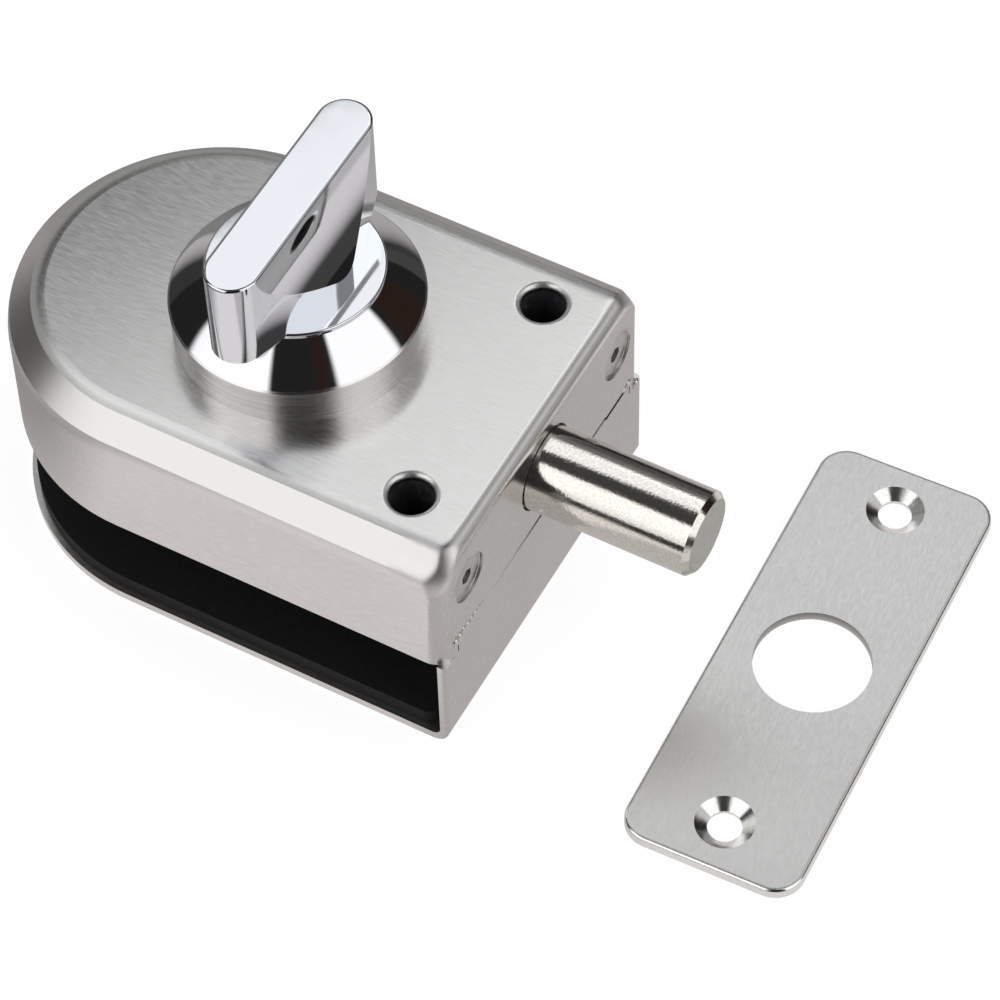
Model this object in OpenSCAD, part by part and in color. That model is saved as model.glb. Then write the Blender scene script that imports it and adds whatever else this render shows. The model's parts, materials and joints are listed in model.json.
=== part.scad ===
// Bolt lock for a frameless glass door, with its floor strike plate.
// A D-shaped steel body clamps round the edge of the glass, so the door needs no hole.
// Half a turn of the knob drives a rack and draws the round bolt in.
// Origin: centre of the body's round end, on the underside of the back plate.
// +X runs along the bolt, +Z up through the knob. Millimetres.

/* [Body] */
// Width of the body
body_w = 64.6; // [62:0.2:70]
// From the centre of the round end to the bolt face
end_x = 59; // [58.5:0.5:66]
// Height of the front face above the underside
body_h = 44.8; // [40:0.2:54]
// Thickness of the sheet that the cover and the back plate are pressed from
sheet_t = 1.5; // [1.2:0.1:1.8]
// Depth of the cover, from the front face down to the flange that it stands on
cover_h = 24.5; // [24:0.1:25.3]
// Rounding between the front face and the sides
edge_r = 6.4; // [4:0.1:7]
// Depth to which the belt has ground that rounding flat
edge_flat = 0.55; // [0.1:0.05:0.8]
// Rounding between the front face and the bolt face
bend_r = 2.3; // [1.9:0.1:3]
// Rounding of the two upright corners at the bolt face
corner_r = 3.4; // [2:0.1:4]
// Radius to which the tips of those corners are ground
corner_tip_r = 10; // [9:0.5:12]
// Lean of the drawn sides, in degrees
draft = 0.4; // [0:0.1:1]
// Outer radius of the bend between the back plate and its flange
flange_r = 3.1; // [2.5:0.1:3.5]
// Rounding of the two upright edges of the flange
flange_edge_r = 0.8; // [0.3:0.1:1.2]
// Width of the tongue of the flange that fills the notch under the bolt
tongue_w = 56; // [50:0.5:58]
// Height of that tongue
tongue_h = 3; // [2:0.1:3.6]
// Length of the seam that is left open at the far end of the tongue
seam_l = 8; // [4:0.5:12]
// Length of the weld that is ground flush at its near end
ground_l = 9; // [4:0.5:12]
// Width of the open seam
seam_gap = 0.8; // [0.3:0.1:1.2]
// Depth of the groove along the rest of the weld
weld_groove = 0.35; // [0.2:0.05:0.5]

/* [Glass clamp] */
// Thickness of the pad on the back plate
lower_pad_t = 3; // [2:0.1:4]
// Thickness of the pad under the pressure plate
upper_pad_t = 2; // [1.5:0.1:2.2]
// Thickness of the pad that the edge of the glass stands on
edge_pad_t = 1.6; // [1:0.1:2]
// Thickness of the pressure plate
press_t = 2; // [1.5:0.1:2.2]
// How far the upper pad stands out below the rim of the cover when slack
pad_drop = 1.9; // [1.9:0.1:2.2]
// How far the lower pad lies back from the edge of the plate
pad_setback = 1; // [0.5:0.1:3]
// Thread diameter of the clamp screws
clamp_d = 8; // [7.6:0.2:8]
// Length of the clamp screws
clamp_l = 12; // [10:0.5:14]
// Distance of the clamp screws from the bolt face
clamp_back = 11.4; // [11:0.2:14]
// Distance of the clamp screws from the sides of the body
clamp_edge = 11.5; // [10.5:0.1:13.5]
// Key size of the clamp screws
clamp_key = 4; // [3:0.5:4]
// Diameter of the key holes in the front face
key_hole_d = 7.1; // [5:0.1:7.4]
// Diameter of the rounded lip of the key holes
key_lip_d = 9; // [8.4:0.1:9.8]
// Diameter of the pins that guide the pressure plate
guide_d = 4; // [3:0.2:4]
// Length of the guide pins
guide_l = 15.5; // [12:0.5:17]
// Distance of the guide pins from the side of the round end
guide_edge = 6.5; // [6:0.1:7.5]
// Where they stand round that end, in degrees from the bolt
guide_turn = 137.5; // [135:0.5:139]

/* [Bolt] */
// Diameter of the bolt
bolt_d = 14; // [13:0.2:14.4]
// Depth of the bolt axis below the front face
bolt_drop = 10.8; // [10:0.2:11.2]
// How far the thrown bolt stands out of the bolt face
bolt_out = 27.9; // [27.5:0.1:32]
// Travel of the bolt
throw = 27; // [24:0.5:27]
// Bevel round the end of the bolt
bolt_bevel = 0.9; // [0.5:0.1:1.5]
// Where the thrown bolt ends inside the case
bolt_tail_x = -0.6; // [-0.8:0.1:0.6]
// Depth of the flat milled under the tail of the bolt
bolt_flat = 1; // [0.8:0.1:1.4]
// Width of the relief groove round the bolt, just inside the bolt face
relief_w = 1; // [0.8:0.1:1.4]
// Depth of that groove
relief_h = 0.3; // [0.2:0.1:0.6]
// Wall of the bush that guides the bolt
bush_wall = 1.2; // [0.8:0.1:1.2]
// Length of the bush
bush_l = 7; // [5:0.5:7]

/* [Drive] */
// Teeth on the pinion
pinion_teeth = 16; // [12:1:20]
// Turn of the knob for the whole travel, in degrees
knob_turn = 180; // [170:5:180]
// Pressure angle of the teeth, in degrees
pressure_angle = 20; // [18:1:25]
// Play between the flanks of the teeth
backlash = 0.12; // [0.06:0.02:0.2]
// Thickness of the pinion and the rack
gear_t = 2.8; // [2:0.1:2.8]
// Depth of the rack behind its teeth
rack_back = 3.2; // [2.5:0.1:3.3]
// Diameter of the spindle
spindle_d = 8; // [7:0.2:8]
// Width across the flats where the knob and the pinion sit on the spindle
spindle_flats = 6.4; // [5.6:0.1:6.4]
// Diameter of the screw that holds the rack under the bolt
rack_screw_d = 4; // [3:0.5:4]

/* [Rosette] */
// Place of the knob axis along the bolt
knob_x = 16.2; // [16:0.1:16.6]
// Diameter of the ring at its top
ring_d = 39.9; // [38:0.1:42]
// Diameter of the ring at its foot
ring_foot_d = 39.3; // [38:0.1:41]
// Height of the ring
ring_h = 7.4; // [6.5:0.1:8]
// Wall of the ring
ring_wall = 2.4; // [2:0.1:3]
// Rise of the dome above the ring
dome_h = 5.8; // [5:0.1:7]
// Radius of the curve of the dome
dome_r = 16; // [12:0.5:30]
// Wall of the dome
dome_wall = 1.2; // [0.8:0.1:1.5]
// Distance of the rosette screws from the knob axis
rosette_screw_y = 12.5; // [12:0.1:13]

/* [Knob] */
// Diameter of the collar under the grip
collar_d = 28; // [24:0.5:29]
// Thickness of the collar
collar_t = 0.8; // [0.6:0.1:1.5]
// Length of the grip
grip_l = 41.8; // [36:0.2:46]
// Thickness of the grip at its top
grip_w = 8.54; // [7.5:0.02:10]
// Width of the foot of the grip
grip_foot_w = 18.8; // [15:0.2:22]
// Height of the grip above the dome
grip_h = 17.2; // [15:0.1:20]
// Radius of the hollow down each side of the grip
scoop_r = 25; // [22:0.5:32]
// Height of the middle of that hollow's curve above the top of the grip
scoop_rise = 1.5; // [0.5:0.1:3]
// Rounding of the top edge of the grip
grip_edge_r = 0.6; // [0.3:0.1:1]

/* [Strike plate] */
// How far the middle of the strike plate lies beyond the end of the thrown bolt
strike_ahead = 15.8; // [15:0.1:24]
// Place of the strike plate's middle across the bolt
strike_y = 6.9; // [-10:0.1:15]
// Turn of the strike plate as it lies, in degrees
strike_turn = 2.1; // [-5:0.1:5]
// Length of the strike plate
strike_l = 82.6; // [78:0.2:90]
// Width of the strike plate
strike_w = 29.8; // [27:0.2:32]
// Thickness of the strike plate
strike_t = 1.9; // [1.5:0.1:2.5]
// Rounding of the corners of the strike plate
strike_corner_r = 4.9; // [3:0.1:8]
// Rounding of the upper edge of the strike plate
strike_edge_r = 0.7; // [0.3:0.1:1]
// Diameter of the hole for the bolt
strike_hole_d = 19; // [17:0.1:21]
// Distance between the two screw holes
strike_pitch = 65.8; // [60:0.2:70]
// Diameter of the screw holes
strike_screw_d = 5.5; // [4.5:0.1:6]
// Diameter of their countersinks
strike_sink_d = 9.5; // [8:0.1:10]
// Depth of their countersinks
strike_sink_h = 1.3; // [1:0.1:1.4]

/* [Fits] */
// Radial clearance of what turns or slides
run_fit = 0.06; // [0.03:0.01:0.1]
// Radial clearance of what is screwed or pushed together
seat_fit = 0.03; // [0.01:0.01:0.08]
// Clearance of loose parts in the body
loose_fit = 0.2; // [0.1:0.05:0.3]
// Gap round the bolt where it leaves the cover
bolt_gap = 0.35; // [0.2:0.05:0.6]
// Gap beside the tongue of the flange
tongue_gap = 0.25; // [0.1:0.05:0.4]

/* [Hidden] */
$fn = 96;

body_r = body_w / 2;
cut = 1;                                    // how far a cut runs past what it cuts
joint_z = body_h - cover_h;
seam_z = joint_z + tongue_h;
inner_top = body_h - sheet_t;
tip_back = [0.66, 3.44, 2.4];               // from the three faces in to a ground corner tip
tip_rise = 0.77;                            // where the grinding starts, as a share of its radius
inner_end = end_x - sheet_t;
bolt_z = body_h - bolt_drop;
bolt_end_x = end_x + bolt_out;
clamp_x = end_x - clamp_back;
clamp_y = body_r - clamp_edge;
guide_x = (body_r - guide_edge) * cos(guide_turn);
guide_y = (body_r - guide_edge) * sin(guide_turn);
strike_x = bolt_end_x + strike_ahead;

// Heights of the clamp and of the case above it
lid_gap = 0.3;
lid_t = 1.5;
clamp_bore_room = 2;
pad_corner_r = 2;
upper_pad_z = joint_z - pad_drop;
press_z = upper_pad_z + upper_pad_t;
lid_z = press_z + press_t + lid_gap;
case_z = lid_z + lid_t;
case_end = inner_end - loose_fit;
case_inset = sheet_t + loose_fit;
clamp_screw_z = press_z + press_t;
clamp_bore_top = clamp_screw_z + clamp_l + clamp_bore_room;
clamp_bevel = 0.8;
guide_bevel = 0.5;

// Rack and pinion: half a turn of the pinion is one throw of the bolt
pitch_r = throw * 180 / (PI * knob_turn);
module_size = 2 * pitch_r / pinion_teeth;
tooth_pitch = PI * module_size;
tip_r = pitch_r + module_size;
root_r = pitch_r - 1.25 * module_size;
base_r = pitch_r * cos(pressure_angle);
gear_z = case_z + loose_fit;
rack_tip_y = pitch_r - module_size;
rack_root_y = pitch_r + 1.25 * module_size;
rack_back_y = rack_root_y + rack_back;
rack_first = -3;
rack_last = ceil(throw / tooth_pitch) + 1;
rack_front_x = knob_x + (rack_last + 0.5) * tooth_pitch;
rack_chamfer = 4.5;
rack_screw_l = 10;
rack_screw_head_d = 7;
rack_screw_key = 2.5;
arm_gap = 0.7;
arm_front_x = knob_x - tip_r - arm_gap;
arm_y = bolt_d / 4;
flat_z = bolt_z - bolt_d / 2 + bolt_flat;
slot_gap = 0.3;
slot_half = spindle_d / 2 + slot_gap;
flat_front_x = knob_x + throw + tip_r + slot_gap;
nose_gap = 0.1;

// Cavities of the case
bore_d = bolt_d + 2 * run_fit;
bush_d = bolt_d + 2 * bush_wall;
pocket_top = flat_z + loose_fit;
pocket_gap = 1.2;
case_wall = 1.6;
case_r = body_r - case_inset;
cavity_r = case_r - case_wall;
lid_inset = 0.5;
lid_corner_r = 1.5;
lid_screw_d = 3;
lid_screw_head_d = 5.6;
lid_screw_l = 7;
lid_screw_key = 2;
lid_screw_edge = 6.6;
lid_screw_gap = 10;
lid_screw_y = case_r - lid_screw_edge;
lid_screw_x = [guide_x + lid_screw_gap, clamp_x - lid_screw_gap];
pocket_wall = 2.5;
pocket_end = 5;
pocket_roof = 2;
side_pocket_y = rack_back_y + pocket_wall;
side_pocket_x = [lid_screw_x[0] + pocket_end, lid_screw_x[1] - pocket_end];
side_pocket_top = inner_top - pocket_roof;
side_wall = 2.2;
rib_t = 2;
end_screw_d = 4;
end_screw_head_d = 8;
end_screw_l = 6;
end_screw_key = 2.5;
end_screw_edge = 8.3;
end_screw_drop = 10.2;
end_screw_y = body_r - end_screw_edge;
end_screw_z = body_h - end_screw_drop;
end_screw_sink = 0.5;
end_screw_gap = 0.25;

// Rosette and knob
ring_top = body_h + ring_h;
dome_top = ring_top + dome_h;
spigot_r = 9;
web_t = 2;
ring_bevel = 0.3;
rosette_screw_d = 3;
rosette_screw_l = 8;
rosette_head_d = 5.6;
rosette_head_h = 1.8;
cross_l = 3.2;
cross_w = 0.6;
cross_h = 1;
dome_lip_drop = 2;
dome_lip_rise = 1.2;
hub_r = 7;
hub_z = ring_top + 0.4;
washer_t = 0.5;
clip_t = 0.9;
clip_w = 2.8;
clip_mouth = 70;
axial_play = 0.05;
groove_r = spindle_d / 2 - 0.7;
knob_z = dome_top + axial_play;
grip_z = knob_z + 0.25;
grip_top = dome_top + grip_h;
socket_depth = 10;
socket_top = knob_z + socket_depth;
spindle_top = socket_top - loose_fit;

// 2D building blocks

// Half of a section across the body, from its middle to its drawn side
module half_section(r, z0, z1, round_r, flat) {
    lean = tan(draft) * (z1 - round_r - z0);
    reach = r - lean + z1 - (2 - sqrt(2)) * round_r - sqrt(2) * flat;
    intersection() {
        union() {
            polygon([
                [0, z0], [r, z0], [r - lean, z1 - round_r],
                [r - lean - round_r, z1 - round_r], [r - lean - round_r, z1], [0, z1]
            ]);
            translate([r - lean - round_r, z1 - round_r]) circle(r = round_r);
        }
        polygon([[0, z0], [reach - z0, z0], [0, reach]]);
    }
}

// D outline: round end about the origin, square end at x1 with corners of radius rc
module d_outline(r, x1, rc = 0) {
    union() {
        circle(r = r);
        translate([0, -r]) square([x1 - rc, 2 * r]);
        if (rc > 0) {
            translate([0, -r + rc]) square([x1, 2 * (r - rc)]);
            for (s = [-1, 1]) translate([x1 - rc, s * (r - rc)]) circle(r = rc);
        }
    }
}

// Round disc with a rounded upper edge, as a half section for turning
module disc_section(r, t, re) {
    square([r - re, t]);
    square([r, t - re]);
    translate([r - re, t - re]) circle(r = re);
}

// Flat plate with round corners and a rounded upper edge
module soft_plate(l, w, t, rc, re) {
    for (a = [-1, 1], b = [-1, 1]) {
        translate([a * (l / 2 - rc), b * (w / 2 - rc), 0])
            rotate_extrude() disc_section(rc, t, re);
    }
    translate([-l / 2 + rc, 0, 0]) rotate([90, 0, 90])
        linear_extrude(l - 2 * rc) full_section(w / 2, t, re);
    if (w / 2 > rc) {
        translate([0, w / 2 - rc, 0]) rotate([90, 0, 0])
            linear_extrude(w - 2 * rc) full_section(l / 2, t, re);
    }
}

module full_section(half, t, re) {
    translate([-half + re, 0]) square([2 * (half - re), t]);
    translate([-half, 0]) square([2 * half, t - re]);
    for (s = [-1, 1]) translate([s * (half - re), t - re]) circle(r = re);
}

// Solid with the outer form of the cover, drawn in by inset, from z0 to z1
module body_form(inset, z0, z1, round_r, flat = 0) {
    r = body_r - inset;
    x1 = end_x - inset;
    bend = max(bend_r - inset, 0.2);
    corner = max(corner_r - inset, 0.3);
    difference() {
        squared_form(r, x1, z0, z1, round_r, flat, bend, corner);
        for (s = [0, 1]) mirror([0, s, 0]) corner_tip(corner_tip_r - inset);
    }
}

// What is ground away round the tip of a corner, down to a ball inside it
module corner_tip(ball_r) {
    diagonal = [1, 1, 1] / sqrt(3);
    translate([end_x, body_r, body_h] - tip_back - corner_tip_r * diagonal)
        rotate([0, acos(diagonal[2]), 45]) difference() {
            translate([0, 0, tip_rise * ball_r]) cylinder(r = ball_r, h = ball_r);
            sphere(r = ball_r);
        }
}

// The same form with its corners still pointed
module squared_form(r, x1, z0, z1, round_r, flat, bend, corner) {
    intersection() {
        union() {
            rotate([0, 0, 90]) rotate_extrude(angle = 180) half_section(r, z0, z1, round_r, flat);
            rotate([90, 0, 90]) linear_extrude(x1) {
                half_section(r, z0, z1, round_r, flat);
                mirror([1, 0]) half_section(r, z0, z1, round_r, flat);
            }
        }
        translate([0, 0, z0 - cut]) linear_extrude(z1 - z0 + 2 * cut)
            d_outline(r + 2 * cut, x1, corner + 2 * cut);
        translate([0, 0, z0 - cut]) linear_extrude(z1 - z0 + 2 * cut) end_outline(r, x1, corner);
        translate([0, body_r + cut, 0]) rotate([90, 0, 0]) linear_extrude(body_w + 2 * cut) {
            translate([-body_r - cut, z0]) square([x1 + body_r + cut - bend, z1 - z0]);
            translate([-body_r - cut, z0]) square([x1 + body_r + cut, z1 - z0 - bend]);
            translate([x1 - bend, z1 - bend]) circle(r = bend);
        }
    }
}

// Plan that only rounds the two upright corners at the bolt face
module end_outline(r, x1, corner) {
    translate([-r - cut, -r - cut]) square([x1 - corner + r + cut, 2 * (r + cut)]);
    translate([0, -r + corner]) square([x1, 2 * (r - corner)]);
    for (s = [-1, 1]) translate([x1 - corner, s * (r - corner)]) circle(r = corner);
}

// Countersunk screw along +Z with its head's face at the origin, pointing down
module sunk_screw(d, head_d, l, key) {
    difference() {
        union() {
            translate([0, 0, -l]) cylinder(d = d, h = l);
            translate([0, 0, -(head_d - d) / 2])
                cylinder(d1 = d, d2 = head_d, h = (head_d - d) / 2);
        }
        translate([0, 0, -key * 0.6]) cylinder(d = key / cos(30), h = key, $fn = 6);
    }
}

// Hole for such a screw
module sunk_hole(d, head_d, l, gap, recess = 0) {
    translate([0, 0, -l]) cylinder(d = d + 2 * gap, h = l + cut);
    translate([0, 0, -(head_d - d) / 2])
        cylinder(d1 = d + 2 * gap, d2 = head_d + 2 * gap, h = (head_d - d) / 2);
    cylinder(d = head_d + 2 * gap, h = max(recess, 0.01) + cut);
}

module end_screw_place(s) {
    translate([end_x - end_screw_sink, s * end_screw_y, end_screw_z]) rotate([0, 90, 0]) children();
}

module clamp_place(s) {
    translate([clamp_x, s * clamp_y, 0]) children();
}

module knob_place() {
    translate([knob_x, 0, 0]) children();
}

// Back plate, its flange and the rubber that the glass lies on

module back_plate() {
    inner_r = flange_r - sheet_t;
    color([0.74, 0.73, 0.71]) difference() {
        union() {
            translate([inner_end, -tongue_w / 2, joint_z - cut])
                cube([sheet_t, tongue_w, tongue_h + cut]);
            intersection() {
                translate([0, body_r, 0]) rotate([90, 0, 0]) linear_extrude(body_w) difference() {
                    union() {
                        translate([-body_r, 0]) square([body_r + end_x - flange_r, joint_z]);
                        translate([-body_r, flange_r]) square([body_r + end_x, joint_z - flange_r]);
                        translate([end_x - flange_r, flange_r]) circle(r = flange_r);
                    }
                    union() {
                        translate([-body_r - cut, sheet_t])
                            square([body_r + cut + inner_end - inner_r, joint_z]);
                        translate([-body_r - cut, sheet_t + inner_r])
                            square([body_r + cut + inner_end, joint_z]);
                        translate([inner_end - inner_r, sheet_t + inner_r]) circle(r = inner_r);
                    }
                }
                linear_extrude(joint_z) d_outline(body_r, end_x, flange_edge_r);
            }
        }
        // open seam at the far end of the tongue, and a short one at its near end
        translate([inner_end - cut, tongue_w / 2 - seam_l, seam_z - seam_gap])
            cube([sheet_t + 2 * cut, seam_l + cut, seam_gap + cut]);
        translate([inner_end - cut, -tongue_w / 2 - cut, seam_z - seam_gap])
            cube([sheet_t + 2 * cut, 2 * seam_gap + cut, seam_gap + cut]);
        seam_groove();
    }
}

// V groove along the weld, cut into the tongue and into the cover above it
module seam_groove() {
    groove_y = -tongue_w / 2 + 2 * seam_gap + ground_l;
    groove_l = tongue_w / 2 - seam_l - groove_y;
    translate([end_x, groove_y, seam_z]) rotate([-90, 0, 0]) linear_extrude(groove_l)
        rotate(45) square(weld_groove * sqrt(2), center = true);
}

module lower_pad() {
    color([0.09, 0.09, 0.09]) translate([0, 0, sheet_t]) linear_extrude(lower_pad_t)
        d_outline(body_r - pad_setback, inner_end - edge_pad_t, pad_corner_r);
}

module edge_pad() {
    z0 = sheet_t + lower_pad_t;
    color([0.09, 0.09, 0.09]) translate([inner_end - edge_pad_t, -body_r + 3 * pad_setback, z0])
        cube([edge_pad_t, body_w - 6 * pad_setback, joint_z - seam_gap - z0]);
}

// Drawn cover and the case that it carries

module cover() {
    color([0.77, 0.76, 0.74]) difference() {
        body_form(0, joint_z, body_h, edge_r, edge_flat);
        body_form(sheet_t, joint_z - cut, inner_top, edge_r - sheet_t);
        translate([inner_end - cut, -tongue_w / 2 - tongue_gap, joint_z - cut])
            cube([sheet_t + 2 * cut, tongue_w + 2 * tongue_gap, tongue_h + cut]);
        seam_groove();
        for (s = [-1, 1]) {
            clamp_place(s) key_hole();
            end_screw_place(s) sunk_hole(
                end_screw_d, end_screw_head_d, end_screw_l, end_screw_gap, end_screw_sink
            );
        }
        translate([inner_end - cut, 0, bolt_z]) rotate([0, 90, 0])
            cylinder(d = bolt_d + 2 * bolt_gap, h = sheet_t + 2 * cut);
        knob_place() translate([0, 0, inner_top - cut])
            cylinder(r = spigot_r + seat_fit, h = sheet_t + 2 * cut);
        for (s = [-1, 1]) {
            translate([knob_x, s * rosette_screw_y, inner_top - cut])
                cylinder(d = rosette_screw_d + 2 * loose_fit, h = sheet_t + 2 * cut);
        }
    }
}

// Key hole through the front face, with a rounded lip
module key_hole() {
    lip = (key_lip_d - key_hole_d) / 2;
    translate([0, 0, inner_top - cut]) cylinder(d = key_hole_d, h = sheet_t + 2 * cut);
    translate([0, 0, body_h - lip]) rotate_extrude() difference() {
        square([key_lip_d / 2, lip + cut]);
        translate([key_lip_d / 2, 0]) circle(r = lip);
    }
}

module end_screws() {
    color([0.55, 0.55, 0.55]) for (s = [-1, 1]) {
        end_screw_place(s) sunk_screw(end_screw_d, end_screw_head_d, end_screw_l, end_screw_key);
    }
}

module lock_case() {
    color([0.35, 0.36, 0.38]) difference() {
        intersection() {
            body_form(case_inset, case_z, inner_top, edge_r - sheet_t);
            translate([-body_r, -body_r, case_z]) cube([body_r + case_end, body_w, body_h]);
        }
        // bore of the bolt, and the wider seat of its bush
        translate([-cavity_r, 0, bolt_z]) rotate([0, 90, 0])
            cylinder(d = bore_d, h = cavity_r + case_end + cut);
        translate([case_end - bush_l, 0, bolt_z]) rotate([0, 90, 0])
            cylinder(d = bush_d + 2 * seat_fit, h = bush_l + cut);
        // pocket of the rack and the pinion, open below
        intersection() {
            union() {
                translate([-cavity_r, -tip_r - loose_fit, case_z - cut])
                    cube([cavity_r + rack_front_x + pocket_gap, tip_r + rack_back_y + loose_fit + run_fit,
                        pocket_top - case_z + cut]);
                translate([-cavity_r, -bore_d / 2, case_z - cut])
                    cube([cavity_r + rack_front_x + pocket_gap, bore_d, bolt_z - case_z + cut]);
            }
            translate([0, 0, case_z - 2 * cut]) linear_extrude(body_h) d_outline(cavity_r, end_x);
        }
        knob_place() translate([0, 0, case_z - cut])
            cylinder(d = spindle_d + 2 * run_fit, h = body_h);
        // hollows that lighten the sides, each with a rib
        for (s = [-1, 1]) side_hollow(s);
        for (s = [-1, 1]) {
            clamp_place(s) translate([0, 0, case_z - cut])
                cylinder(d = clamp_d + 2 * run_fit, h = clamp_bore_top - case_z + cut);
            clamp_place(s) cylinder(d = key_hole_d, h = body_h + cut);
            end_screw_place(s) sunk_hole(end_screw_d, end_screw_head_d, end_screw_l, seat_fit);
            translate([guide_x, s * guide_y, case_z - cut])
                cylinder(d = guide_d + 2 * run_fit, h = guide_l);
            translate([knob_x, s * rosette_screw_y, body_h + web_t - rosette_screw_l - lid_gap])
                cylinder(d = rosette_screw_d + 2 * seat_fit, h = rosette_screw_l);
            for (x = lid_screw_x) {
                translate([x, s * lid_screw_y, case_z - cut])
                    cylinder(d = lid_screw_d + 2 * seat_fit, h = lid_screw_l);
            }
        }
    }
}

module side_hollow(s) {
    depth = case_r - side_wall - side_pocket_y;
    difference() {
        translate([side_pocket_x[0], s > 0 ? side_pocket_y : -side_pocket_y - depth, case_z - cut])
            cube([side_pocket_x[1] - side_pocket_x[0], depth, side_pocket_top - case_z + cut]);
        translate([(side_pocket_x[0] + side_pocket_x[1] - rib_t) / 2,
            s > 0 ? side_pocket_y - cut : -side_pocket_y - depth - cut, case_z])
                cube([rib_t, depth + 2 * cut, body_h]);
    }
}

module bolt_bush() {
    color([0.78, 0.6, 0.3]) translate([case_end - bush_l, 0, bolt_z]) rotate([0, 90, 0]) difference() {
        cylinder(d = bush_d, h = bush_l);
        translate([0, 0, -cut]) cylinder(d = bore_d, h = bush_l + 2 * cut);
    }
}

module case_lid() {
    color([0.6, 0.6, 0.6]) difference() {
        translate([0, 0, lid_z]) linear_extrude(lid_t)
            d_outline(case_r - lid_inset, case_end - lid_inset, lid_corner_r);
        for (s = [-1, 1]) {
            clamp_place(s) cylinder(d = clamp_d + 2 * loose_fit, h = body_h);
            translate([guide_x, s * guide_y, 0]) cylinder(d = guide_d + 2 * loose_fit, h = body_h);
            for (x = lid_screw_x) {
                translate([x, s * lid_screw_y, lid_z]) mirror([0, 0, 1])
                    sunk_hole(lid_screw_d, lid_screw_head_d, lid_screw_l, seat_fit);
            }
        }
        knob_place() cylinder(d = spindle_flats + 2 * run_fit, h = body_h);
    }
}

module lid_screws() {
    color([0.6, 0.6, 0.62]) for (s = [-1, 1], x = lid_screw_x) {
        translate([x, s * lid_screw_y, lid_z]) mirror([0, 0, 1])
            sunk_screw(lid_screw_d, lid_screw_head_d, lid_screw_l, lid_screw_key);
    }
}

// Rosette under the knob

module rosette_ring() {
    ring_r = ring_d / 2;
    wall_r = ring_r - ring_wall;
    color([0.8, 0.79, 0.77]) knob_place() difference() {
        rotate_extrude() difference() {
            polygon([
                [0, inner_top], [spigot_r, inner_top], [spigot_r, body_h],
                [ring_foot_d / 2, body_h], [ring_r, ring_top - ring_bevel],
                [ring_r - ring_bevel, ring_top], [0, ring_top]
            ]);
            translate([0, body_h + web_t]) square([wall_r, ring_h]);
            translate([0, inner_top - cut]) square([spindle_d / 2 + loose_fit, ring_h]);
        }
        for (s = [-1, 1]) {
            translate([0, s * rosette_screw_y, body_h - cut])
                cylinder(d = rosette_screw_d + 2 * seat_fit, h = web_t + 2 * cut);
        }
    }
}

module rosette_screws() {
    color([0.6, 0.6, 0.62]) for (s = [-1, 1]) {
        translate([knob_x, s * rosette_screw_y, body_h + web_t]) difference() {
            union() {
                translate([0, 0, -rosette_screw_l])
                    cylinder(d = rosette_screw_d, h = rosette_screw_l);
                cylinder(d = rosette_head_d, h = rosette_head_h);
            }
            for (a = [0, 90]) rotate([0, 0, a])
                translate([-cross_l / 2, -cross_w / 2, rosette_head_h - cross_h])
                    cube([cross_l, cross_w, cross_h + cut]);
        }
    }
}

// Region under the curve of the dome, drawn in by inset
module dome_section(inset) {
    foot = [ring_d / 2 - ring_bevel, ring_top];
    brow = [collar_d / 2, dome_top];
    chord = foot - brow;
    half = norm(chord) / 2;
    inward = [chord[1], -chord[0]] / norm(chord);
    centre = (foot + brow) / 2 + inward * sqrt(dome_r * dome_r - half * half);
    intersection() {
        translate(centre) circle(r = dome_r - inset);
        translate([0, ring_top - cut]) square([foot[0] - inset, dome_h + cut - inset]);
    }
    translate([0, ring_top - cut]) square([brow[0] - inset, dome_h + cut - inset]);
}

module rosette_dome() {
    lip_r = ring_d / 2 - ring_wall - seat_fit;
    bore = spindle_d / 2 + run_fit;
    color([0.9, 0.9, 0.92]) knob_place() rotate_extrude() difference() {
        union() {
            intersection() {
                difference() {
                    dome_section(0);
                    dome_section(dome_wall);
                }
                translate([0, ring_top]) square([ring_d, dome_h]);
            }
            translate([lip_r - dome_wall, ring_top - dome_lip_drop])
                square([dome_wall, dome_lip_drop + dome_lip_rise]);
            translate([0, hub_z]) square([hub_r, dome_top - hub_z]);
        }
        translate([0, hub_z - cut]) square([bore, dome_h + 2 * cut]);
    }
}

// Knob, spindle and pinion turn together

// Plan of the foot of the grip: a round middle drawn out to both tips
module grip_plan() {
    foot_r = grip_foot_w / 2;
    tip = grip_w / 2;
    reach = grip_l / 2 - tip;
    lean = asin((foot_r - tip) / reach);
    union() {
        circle(r = foot_r);
        for (s = [-1, 1]) translate([0, s * reach]) circle(r = tip);
        polygon([for (q = [[1, 1], [-1, 1], [-1, -1], [1, -1]], k = q[0] * q[1] > 0 ? [0, 1] : [1, 0])
            k == 0 ? [q[0] * foot_r * cos(lean), q[1] * foot_r * sin(lean)]
                   : [q[0] * tip * cos(lean), q[1] * (reach + tip * sin(lean))]]);
    }
}

module knob() {
    collar_edge = collar_t / 2 - 0.05;
    color([0.9, 0.9, 0.92]) knob_place() difference() {
        union() {
            intersection() {
                difference() {
                    translate([0, 0, grip_z]) linear_extrude(grip_top - grip_z) grip_plan();
                    for (s = [-1, 1]) {
                        translate([s * (grip_w / 2 + scoop_r), 0, grip_top + scoop_rise])
                            rotate([90, 0, 0]) cylinder(r = scoop_r, h = grip_l + 2 * cut, center = true);
                    }
                }
                grip_envelope();
            }
            translate([0, 0, knob_z]) rotate_extrude() disc_section(collar_d / 2, collar_t, collar_edge);
        }
        translate([0, 0, knob_z - cut]) linear_extrude(socket_top - knob_z + cut)
            drive_outline(seat_fit);
    }
}

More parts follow.
